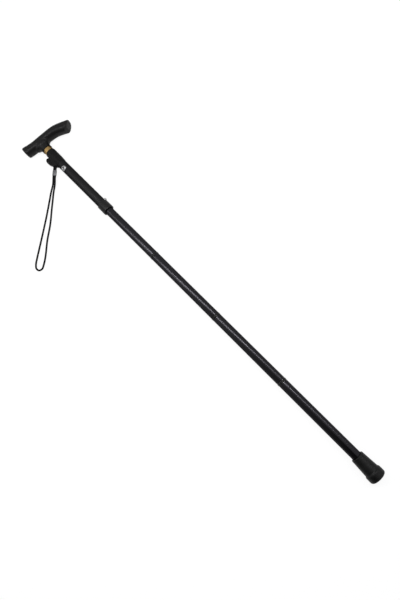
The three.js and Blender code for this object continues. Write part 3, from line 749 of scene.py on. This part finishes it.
def makeFlag():
    s = studioSet["flag"]
    low, high = Vector(s["low"]), Vector(s["high"])
    bm = bmesh.new()
    foot = [bm.verts.new((x, low.y, low.z)) for x in (low.x, high.x)]
    top = newVerts(bmesh.ops.extrude_edge_only(bm, edges=[bm.edges.new(foot)]))
    bmesh.ops.translate(bm, verts=top, vec=(0, high.y - low.y, high.z - low.z))
    flag = asObject("flag", bm)
    flag.visible_camera = flag.visible_diffuse = flag.visible_shadow = flag.visible_transmission = False
    # the sheet's black, thinning out up the shaft, is painted shade in the reflections
    shadeSheet = Finish("gloss_shade_sheet", specular=0)
    place = shadeSheet.nodes.new("ShaderNodeSeparateXYZ")
    shadeSheet.links.new(shadeSheet.coordinates.outputs["Object"], place.inputs["Vector"])
    thinned = shadeSheet.math("MULTIPLY", place.outputs["X"], s["fade"])
    cover = shadeSheet.math("MINIMUM", shadeSheet.math("SUBTRACT", s["dark"], thinned), 1.0)
    shadeSheet.links.new(shadeSheet.math("MAXIMUM", cover, 0.0), shadeSheet.shader.inputs["Alpha"])
    shadeSheet.shader.inputs["Base Color"].default_value = (0, 0, 0, 1)
    flag.data.materials.append(shadeSheet.material)


def makeLamps():
    for name, place, length, width, turn, watts in studioSet["lamps"]:
        lamp = bpy.data.lights.new(name, "AREA")
        lamp.shape = "RECTANGLE"
        lamp.size, lamp.size_y = length, width
        lamp.energy = watts
        box = addObject(name, lamp)
        box.location = place
        box.rotation_euler = (0, 0, math.radians(turn))


def makeWorld():
    world = bpy.context.scene.world or bpy.data.worlds.new("studio")
    bpy.context.scene.world = world
    world.use_nodes = True
    nodes, links = world.node_tree.nodes, world.node_tree.links
    nodes.clear()
    fill, white = nodes.new("ShaderNodeBackground"), nodes.new("ShaderNodeBackground")
    fill.inputs["Strength"].default_value = studioSet["worldFill"]
    for shade in (fill, white):
        shade.inputs["Color"].default_value = (1, 1, 1, 1)
    seen = mixedShaders(nodes, links, seenDirectly(nodes, links), fill.outputs["Background"],
                        white.outputs["Background"])
    links.new(seen, nodes.new("ShaderNodeOutputWorld").inputs["Surface"])


makeFloor()
makeFlag()
makeLamps()
makeWorld()
bpy.context.scene.view_settings.view_transform = "Standard"
print("studio made")


# Handle: a squared grip swept along its spine, with a neck that flares up into it

handleSet = {
    "noseHeight": 23.8 * mm, "crownHeight": 20.5 * mm, "tailHeight": 24.8 * mm,
    "width": 26.9 * mm, "squareness": 2.65,
    "rise": 26.3 * mm,          # of the crown's middle above the seat
    "crownReach": 10 * mm, "noseReach": 41 * mm, "noseRise": 8.5 * mm,
    "tailReach": 71 * mm, "tailDroop": 21.5 * mm,
    "noseBend": (0.31, 0.41), "tailBend": (0.27, 0.59),     # shares of rise or droop, and of reach
    "noseCut": -0.18, "tailCut": 0.4, "cutShare": 0.3,
    "noseEdge": 3.2 * mm, "tailEdge": 2.6 * mm,
    "spineSpan": 60, "edgeRings": 6, "gripRings": 60, "gripSides": 72,
    "neckSkirt": 4.8 * mm,      # straight part above the seat
    "neckStandout": 0.9 * mm,   # from the gold ring
    "neckHeight": 10 * mm, "neckFlare": 9.3 * mm, "neckSideFlare": 1.7 * mm, "neckOverlap": 9 * mm,
    "neckSpare": 4 * mm,        # below the seat, cut off at the end
    "neckRings": 12, "neckSides": 96,
    "voxel": 0.55 * mm, "passes": 6,
    "joinSpan": (2 * mm, 17 * mm),      # above the skirt, smoothed further
    "joinReach": 26 * mm, "joinPasses": 30,
    "boreRadius": 7.15 * mm, "boreDepth": 22.2 * mm,
}


def eased(share):
    share = min(max(share, 0), 1)
    return share * share * (3 - 2 * share)


def quarterTurn(steps):
    return [math.pi / 2 * i / steps for i in range(steps + 1)]


def roundedEnd(edge):
    # Distance from the grip's end, and inset, of each ring that rounds its edge
    return [(edge * (1 - math.cos(a)), edge * (1 - math.sin(a)))
            for a in quarterTurn(handleSet["edgeRings"])]


def gripHeight(share):
    # The grip thins from the nose to the crown and grows again to the tail
    s = handleSet
    crownShare = (s["noseReach"] + s["crownReach"]) / (s["noseReach"] + s["tailReach"])
    if share < crownShare:
        past = eased(share / crownShare)
        return s["noseHeight"] + (s["crownHeight"] - s["noseHeight"]) * past
    past = eased((share - crownShare) / (1 - crownShare))
    return s["crownHeight"] + (s["tailHeight"] - s["crownHeight"]) * past


def gripRings():
    s = handleSet
    crown = handleSeat + s["rise"]
    (noseUp, noseOut), (tailDown, tailOut) = s["noseBend"], s["tailBend"]
    spine = curveThrough([
        (crown + s["noseRise"], s["noseReach"], 0),
        (crown + noseUp * s["noseRise"], noseOut * s["noseReach"], 0),
        (crown, -s["crownReach"], 0),
        (crown - tailDown * s["tailDroop"], -tailOut * s["tailReach"], 0),
        (crown - s["tailDroop"], -s["tailReach"], 0),
    ], s["spineSpan"])
    distances = lengthAlong(spine)
    length = distances[-1]
    nose = roundedEnd(s["noseEdge"])
    tail = [(length - distance, inset) for distance, inset in reversed(roundedEnd(s["tailEdge"]))]
    gap = (tail[0][0] - nose[-1][0]) / s["gripRings"]
    middle = [(nose[-1][0] + gap * i, 0) for i in range(1, s["gripRings"])]
    placements = []
    for distance, inset in [*nose, *middle, *tail]:
        share = distance / length
        point, heading = pointAlong(spine, distances, distance)
        nearNose, nearTail = (max(0, 1 - part / s["cutShare"]) for part in (share, 1 - share))
        across = Vector((-heading.y, heading.x, 0))
        across += heading * (s["noseCut"] * nearNose + s["tailCut"] * nearTail)
        columns = (across * (gripHeight(share) / 2 - inset),
                   Vector((0, 0, s["width"] / 2 - inset)), heading)
        placements.append(Matrix.Translation(point) @ Matrix(columns).transposed().to_4x4())
    return placements


def neckRings():
    s = handleSet
    skirt = goldRadius + s["neckStandout"]

    def ring(height, swell):
        columns = (Vector((0, skirt + s["neckFlare"] * swell, 0)),
                   Vector((0, 0, skirt + s["neckSideFlare"] * swell)), shaftAxis)
        place = Matrix.Translation((handleSeat + height, 0, 0))
        return place @ Matrix(columns).transposed().to_4x4()

    flare = [ring(s["neckSkirt"] + s["neckHeight"] * math.sin(a), 1 - math.cos(a))
             for a in quarterTurn(s["neckRings"])]
    return [ring(-s["neckSpare"], 0), *flare,
            ring(s["neckSkirt"] + s["neckHeight"] + s["neckOverlap"], 1)]


def makeHandle():
    s = handleSet
    grip = swept(gripRings(), s["gripSides"], s["squareness"])
    neck = swept(neckRings(), s["neckSides"])
    bm = softened(combined(grip, neck, "UNION"), s["voxel"], s["passes"])
    low, high = (handleSeat + s["neckSkirt"] + height for height in s["joinSpan"])
    junction = [v for v in bm.verts if low < v.co.x < high and abs(v.co.y) < s["joinReach"]]
    smoothed(bm, junction, s["joinPasses"])
    cut = bmesh.ops.bisect_plane(bm, geom=[*bm.verts, *bm.edges, *bm.faces], clear_outer=True,
                                 plane_co=(handleSeat, 0, 0), plane_no=(-1, 0, 0))["geom_cut"]
    bmesh.ops.contextual_create(bm, geom=[e for e in cut if isinstance(e, bmesh.types.BMEdge)])
    bore = turnedBar(handleSeat - overcut, handleSeat + s["boreDepth"], s["boreRadius"])
    return combined(bm, bore, "DIFFERENCE")


addPiece("grip", makeHandle(), "upper", handleBlack, ["handle"], crease=40)

ringSet = {"rounding": 0.7 * mm, "inner": 9.25 * mm}
addPiece("gold_ring", turned([
    (goldLow, ringSet["inner"]),
    (goldLow, goldRadius, ringSet["rounding"]),
    (goldHigh, goldRadius, ringSet["rounding"]),
    (goldHigh, ringSet["inner"]),
]), "upper", gold, ["handle_collar"])
print("handle made")


# Upper tube with its row of height holes, on the side away from the strap

upperSet = {"wall": 1.05 * mm, "holeCount": 7, "holeRadius": 3 * mm, "rim": 0.15 * mm}
travel = next(joint for joint in frame["joints"] if joint["name"] == "height_adjust")["range_m"][1]
buttonStation = midStation("height_button")
holeSide = (0, -1, 0)       # where the holes and the button point


def drilled(bm, radius, station):
    # A hole through one wall of a tube of that radius
    hole = turnedBar(0.5 * radius, 1.5 * radius, upperSet["holeRadius"])
    return combined(bm, pointedAt(hole, holeSide, station), "DIFFERENCE")


def makeUpperTube():
    bm = turnedTube("upper_tube", upperRadius, upperRadius - upperSet["wall"], upperSet["rim"])
    for i in range(upperSet["holeCount"]):
        bm = drilled(bm, upperRadius, buttonStation + travel * i / (upperSet["holeCount"] - 1))
    return bm


addPiece("outer_tube", makeUpperTube(), "upper", upperAnodised, ["upper_tube"])


# Bright stud on the upper tube, towards the strap's side

studSet = {
    "radius": 5.9 * mm, "rise": 2.4 * mm, "rim": 1.3 * mm,
    "drillRadius": 2.9 * mm, "drillFoot": 2.3 * mm, "drillDepth": 3 * mm, "drillPoint": 1.5 * mm,
    "mouth": 0.3 * mm,
    "angle": 21,            # degrees from straight up, towards the strap
    "drop": 61 * mm,        # below the gold ring
    "sunk": 3 * mm, "seatGap": 0.15 * mm, "seatLength": 20 * mm,
    "shank": 2.4 * mm, "shankGap": 0.1 * mm, "shankInHead": 1 * mm,
}


def makeStud():
    # A turned head cut to the tube's round, on a short shank, with a drilled end
    s = studSet
    steps = meshSet["smallSteps"]
    top = upperRadius + s["rise"]
    angle = math.radians(s["angle"])
    direction = (0, math.sin(angle), math.cos(angle))
    station = goldLow - s["drop"]
    head = turned([
        (upperRadius - s["sunk"], 0),
        (upperRadius - s["sunk"], s["radius"]),
        (top, s["radius"], s["rim"]),
        (top, 0),
    ], steps)
    seat = turnedBar(station - s["seatLength"] / 2, station + s["seatLength"] / 2,
                     upperRadius + s["seatGap"], meshSet["shaftSteps"])
    shank = turnedBar(upperRadius - upperSet["wall"] + s["shankGap"], upperRadius + s["shankInHead"],
                      s["shank"])
    drill = turned([
        (top - s["drillDepth"], 0),
        (top - s["drillDepth"] + s["drillPoint"], s["drillFoot"]),
        (top - s["mouth"], s["drillRadius"]),
        (top + s["mouth"], s["drillRadius"] + 2 * s["mouth"]),
        (top + s["mouth"], 0),
    ], steps)
    head, shank, drill = (pointedAt(bm, direction, station) for bm in (head, shank, drill))
    stud = combined(combined(head, seat, "DIFFERENCE"), shank, "UNION")
    return combined(stud, drill, "DIFFERENCE")


addPiece("stud", makeStud(), "upper", plated, ["tube_stud"])


# Rubber ring round the upper tube, with the lug that the cord comes out of

lugSet = {
    "length": 42 * mm, "wall": 1.4 * mm, "taper": 15 * mm, "lip": 0.4 * mm, "fit": 0.15 * mm,
    "taperEdge": 2 * mm, "topEdge": 0.8 * mm,
    "topDrop": 10 * mm, "topSlant": 1.8 * mm, "topStandout": 3 * mm,
    "crestDrop": 17 * mm, "standout": 9.8 * mm,
    # shares that the curves' handles take: up to the crest, and down to the low end
    "cornerFullness": 0.83, "crestFullness": 0.45,
    "fallStart": 0.3, "fallEnd": 0.68, "footFullness": 0.56,
    "root": 2 * mm, "rimsFrom": 3 * mm,         # from the shaft's middle
    "thickness": 14 * mm, "rounding": 3.5 * mm, "roundingSegments": 6, "curveSteps": 10,
    "voxel": 0.45 * mm, "passes": 5,
    "joinFrom": 6 * mm, "joinHalf": 10 * mm, "joinRim": 2 * mm, "joinPasses": 40,
    "slotGap": 0.2 * mm,
}


def bezier(a, b, c, d):
    shares = [i / lugSet["curveSteps"] for i in range(1, lugSet["curveSteps"] + 1)]
    return [(1 - t) ** 3 * a + 3 * (1 - t) ** 2 * t * b + 3 * (1 - t) * t * t * c + t ** 3 * d
            for t in shares]


def lugBody(low, radius):
    # The lug's outline seen from above, drawn as a plate and given its thickness
    s = lugSet
    top = goldLow - s["topDrop"]
    corner = top + s["topSlant"]
    crest = goldLow - s["crestDrop"]
    fall = low - crest
    reach = radius + s["standout"]
    footReach = upperRadius + s["footFullness"] * (reach - upperRadius)
    shoulder, crestPoint = Vector((corner, radius + s["topStandout"])), Vector((crest, reach))
    outline = [
        Vector((top, s["root"])), Vector((top, radius)), shoulder,
        *bezier(shoulder, Vector((corner, radius + s["cornerFullness"] * s["standout"])),
                Vector((crest + s["crestFullness"] * (corner - crest), reach)), crestPoint),
        *bezier(crestPoint, Vector((crest + s["fallStart"] * fall, reach)),
                Vector((crest + s["fallEnd"] * fall, footReach)), Vector((low, upperRadius))),
        Vector((low, s["root"])),
    ]
    bm = bmesh.new()
    bm.faces.new([bm.verts.new((x, y, -s["thickness"] / 2)) for x, y in outline])
    raised = newVerts(bmesh.ops.extrude_face_region(bm, geom=list(bm.faces)))
    bmesh.ops.translate(bm, verts=raised, vec=(0, 0, s["thickness"]))
    bmesh.ops.recalc_face_normals(bm, faces=bm.faces)
    rims = [e for e in bm.edges if e.verts[0].co.z == e.verts[1].co.z
            and max(v.co.y for v in e.verts) > s["rimsFrom"]]
    bmesh.ops.bevel(bm, geom=rims, offset=s["rounding"], affect="EDGES",
                    segments=s["roundingSegments"], profile=0.5, material=-1)
    return bm


def makeStrapRing():
    s = lugSet
    bore = upperRadius + s["fit"]
    radius = bore + s["wall"]
    high = highEnd("strap_ring")
    low = high - s["length"]
    sleeve = turned([
        (low, 0),
        (low, bore + s["lip"]),
        (low + s["taper"], radius, s["taperEdge"]),
        (high, radius, s["topEdge"]),
        (high, 0),
    ])
    bm = softened(combined(sleeve, lugBody(low, radius), "UNION"), s["voxel"], s["passes"])
    junction = [v for v in bm.verts if v.co.y > s["joinFrom"] and abs(v.co.z) < s["joinHalf"]
                and math.hypot(v.co.y, v.co.z) < radius + s["joinRim"]]
    smoothed(bm, junction, s["joinPasses"])
    core = turnedBar(low - overcut, high + overcut, bore, meshSet["shaftSteps"])
    bm = combined(bm, core, "DIFFERENCE")
    for way in strandWays(-strapSet["socketDepth"] - s["slotGap"], strapSet["crimpDrop"],
                          strapRadius + s["slotGap"]):
        bm = combined(bm, way, "DIFFERENCE")
    return bm


addPiece("strap_holder", makeStrapRing(), "upper", strapRubber, ["strap_ring"],
         crease=40)
print("upper pieces made")


# Locking collar, inner tube and button

collarSet = {
    "wall": 0.9 * mm, "edge": 1.1 * mm, "topEdge": 0.6 * mm,
    "lip": 2.5 * mm, "lipBore": 9.35 * mm, "lipEdge": 0.3 * mm,
    "cone": 4 * mm, "coneDepth": 0.8 * mm,      # inside, above the lip
}
collarOuter = reachUp("locking_collar")
collarInner = collarOuter - collarSet["wall"]
collarLow, collarHigh = lowEnd("locking_collar"), highEnd("locking_collar")
lipTop = collarLow + collarSet["lip"]
addPiece("lock_collar", turned([
    (collarLow, collarSet["lipBore"], collarSet["lipEdge"]),
    (collarLow, collarOuter, collarSet["edge"]),
    (collarHigh, collarOuter, collarSet["topEdge"]),
    (collarHigh, collarInner),
    (lipTop + collarSet["cone"], collarInner),
    (lipTop, collarInner - collarSet["coneDepth"]),
    (lipTop, collarSet["lipBore"], collarSet["lipEdge"]),
]), "collar", collarBlack, ["locking_collar"])

tubeSet = {"wall": 1.2 * mm, "rim": 0.15 * mm}
tubeBore = tubeRadius - tubeSet["wall"]
innerTube = drilled(turnedTube("inner_tube", tubeRadius, tubeBore, tubeSet["rim"]),
                    tubeRadius, buttonStation)
addPiece("sliding_tube", innerTube, "inner", lowerAnodised, ["inner_tube"])

buttonSet = {
    "radius": 2.8 * mm, "dome": 2.2 * mm,
    "flange": 4.2 * mm, "flangeThick": 0.9 * mm, "flangeEdge": 0.2 * mm,
}
buttonTop = -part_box("height_button")[0].y
buttonFoot = -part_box("height_button")[1].y
flangeTop = buttonFoot + buttonSet["flangeThick"]
button = turned([
    (buttonFoot, 0),
    (buttonFoot, buttonSet["flange"], buttonSet["flangeEdge"]),
    (flangeTop, buttonSet["flange"], buttonSet["flangeEdge"]),
    (flangeTop, buttonSet["radius"]),
    (buttonTop, buttonSet["radius"], buttonSet["dome"]),
    (buttonTop, 0),
], meshSet["smallSteps"])
addPiece("button", pointedAt(button, holeSide, buttonStation), "button", plated,
         ["height_button"])


# Leaf spring under the button: a near leg under the button, folded over to a far leg that lies on the
# tube

springSet = {
    "thickness": 0.6 * mm, "width": 5 * mm,
    "bend": 1.9 * mm,               # outer radius
    "give": (2.2 * mm, 7.25 * mm),  # from the near leg's fold to the blend's end point
    "bendSteps": 12, "legSteps": 8,
}
leafLow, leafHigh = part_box("button_spring")
foldStation = buttonStation + buttonSet["flange"]


def stepped(start, end):
    # Points from start, itself left out, to end
    steps = springSet["legSteps"]
    return [tuple(a + (b - a) * i / steps for a, b in zip(start, end)) for i in range(1, steps + 1)]


def makeSpring():
    # The line is the leaf's outer face, and its wall grows inwards
    s = springSet
    near, far = leafLow.y, leafHigh.y
    apex = leafHigh.x - s["bend"]
    angles = [math.pi * (i / s["bendSteps"] - 0.5) for i in range(1, s["bendSteps"] + 1)]
    bend = [(apex + s["bend"] * math.cos(a), s["bend"] * math.sin(a)) for a in angles]
    line = [(leafLow.x, near), (foldStation, near), *stepped((foldStation, near), (apex, -s["bend"])),
            *bend, *stepped((apex, s["bend"]), (foldStation, far)), (leafLow.x, far)]
    bm = bmesh.new()
    verts = [bm.verts.new((x, y, -s["width"] / 2)) for x, y in line]
    for pair in zip(verts, verts[1:]):
        bm.edges.new(pair)
    across = newVerts(bmesh.ops.extrude_edge_only(bm, edges=list(bm.edges)))
    bmesh.ops.translate(bm, verts=across, vec=(0, 0, s["width"]))
    bmesh.ops.recalc_face_normals(bm, faces=bm.faces)
    bmesh.ops.solidify(bm, geom=list(bm.faces), thickness=s["thickness"])
    return bm


leafFold = Vector((foldStation, leafLow.y + springSet["thickness"], 0))
addPiece("leaf_spring", makeSpring(), None, steel, ["button_spring"],
         blend=("button", "inner", leafFold, leafFold + Vector((*springSet["give"], 0))))


# Lower sections, joint rings and spigots

for number in (2, 3, 4):
    node = f"section_{number}_tube"
    addPiece(f"lower_tube_{number}", turnedTube(node, tubeRadius, tubeBore, tubeSet["rim"]),
             f"section_{number}", lowerAnodised, [node])

jointSet = {
    "edge": 0.4 * mm,
    "spigotClearance": 0.15 * mm, "spigotWall": 1.3 * mm, "spigotRim": 0.2 * mm,
    "spigotNose": 0.7 * mm, "noseEdge": 0.3 * mm, "noseRounding": 0.6 * mm,
}
spigotRadius = tubeBore - jointSet["spigotClearance"]


def makeSpigot(node):
    s = jointSet
    low, high = lowEnd(node), highEnd(node)
    return turned([
        (low, spigotRadius - s["spigotWall"], s["spigotRim"]),
        (low, spigotRadius - s["spigotNose"], s["noseEdge"]),
        (low + 2 * s["spigotNose"], spigotRadius, s["noseRounding"]),
        (high, spigotRadius, s["spigotRim"]),
        (high, spigotRadius - s["spigotWall"], s["spigotRim"]),
    ])


for number, carrier in ((1, "inner"), (2, "section_2"), (3, "section_3")):
    ring, spigot = f"joint_ring_{number}", f"spigot_{number}"
    addPiece(f"joint_band_{number}", turnedTube(ring, reachUp(ring), tubeBore, jointSet["edge"]),
             carrier, collarBlack, [ring])
    addPiece(f"spigot_tube_{number}", makeSpigot(spigot), carrier, drawnAluminium,
             [spigot])
print("tubes and joints made")


# Elastic cord through the lower sections, in three lengths, one across each joint

elasticSet = {
    "radius": 2 * mm, "step": 3 * mm,
    "still": 10 * mm,       # taken in from each length's ends for the blend's start and end
}
middle2, middle3 = midStation("section_2_tube"), midStation("section_3_tube")
stretches = [
    ("inner", "section_2", highEnd("shock_cord"), middle2),
    ("section_2", "section_3", middle2, middle3),
    ("section_3", "section_4", middle3, lowEnd("shock_cord")),
]
for number, (above, below, high, low) in enumerate(stretches, 1):
    count = round((high - low) / elasticSet["step"])
    line = [Vector((high + (low - high) * i / count, 0, 0)) for i in range(count + 1)]
    start, end = (high - elasticSet["still"], 0, 0), (low + elasticSet["still"], 0, 0)
    addPiece(f"elastic_{number}", tubeAlong(line, elasticSet["radius"]), None,
             cordBraid, ["shock_cord"], crease=60, blend=(above, below, start, end))


# Rubber tip: a sleeve that widens to a rounded foot with ring grooves in its tread

tipSet = {
    "length": 45 * mm, "top": 11.7 * mm, "topEdge": 1.0 * mm, "topBand": 3 * mm,
    "waist": 13.4 * mm, "waistStep": (1.6 * mm, 0.1 * mm), "waistEdge": 1.2 * mm,
    "flange": 15.1 * mm, "flangeHeight": 13 * mm, "flangeEdge": 1.5 * mm, "edge": 4 * mm,
    "bore": 9.15 * mm, "boreEdge": 0.5 * mm, "floor": 8 * mm,
    "centre": 3.4 * mm, "grooves": 2, "groove": 1.2 * mm, "grooveWidth": 1.6 * mm,
    "grooveSlope": 0.2 * mm, "grooveLip": 0.25 * mm,
}


def makeTip():
    s = tipSet
    gap = (s["flange"] - s["edge"] - s["centre"] - s["grooves"] * s["grooveWidth"]) / 2
    grooves = []
    for i in range(s["grooves"]):
        inner = s["centre"] + i * (s["grooveWidth"] + gap)
        outer = inner + s["grooveWidth"]
        grooves += [
            (0, inner, s["grooveLip"]),
            (s["groove"], inner + s["grooveSlope"], s["grooveSlope"]),
            (s["groove"], outer - s["grooveSlope"], s["grooveSlope"]),
            (0, outer, s["grooveLip"]),
        ]
    stepUp, stepOut = s["waistStep"]
    return turned([
        (0, 0),
        *grooves,
        (0, s["flange"], s["edge"]),
        (s["flangeHeight"], s["flange"], s["flangeEdge"]),
        (s["flangeHeight"] + stepUp, s["waist"] + stepOut, s["waistEdge"]),
        (s["length"] - s["topBand"], s["top"], s["topEdge"]),
        (s["length"], s["top"], s["topEdge"]),
        (s["length"], s["bore"], s["boreEdge"]),
        (s["floor"], s["bore"]),
        (s["floor"], 0),
    ])


addPiece("foot", makeTip(), "section_4", tipRubber, ["rubber_tip"])


# CAD nodes that stay get their finishes

keptNodes = {
    "handle_stem": drawnAluminium, "stem_pin": steel, "collet": paleNylon, "guide_plug": paleNylon,
    "upper_cord_anchor": paleNylon, "lower_cord_anchor": paleNylon,
    "upper_cord_ferrule": crimpMetal, "lower_cord_ferrule": crimpMetal, "tip_washer": steel,
}
for node, material in keptNodes.items():
    item = frame["nodes"][node]
    if not item.data.materials:
        item.data.materials.append(material)
    for place in item.material_slots:
        place.material = material
print("all pieces made")
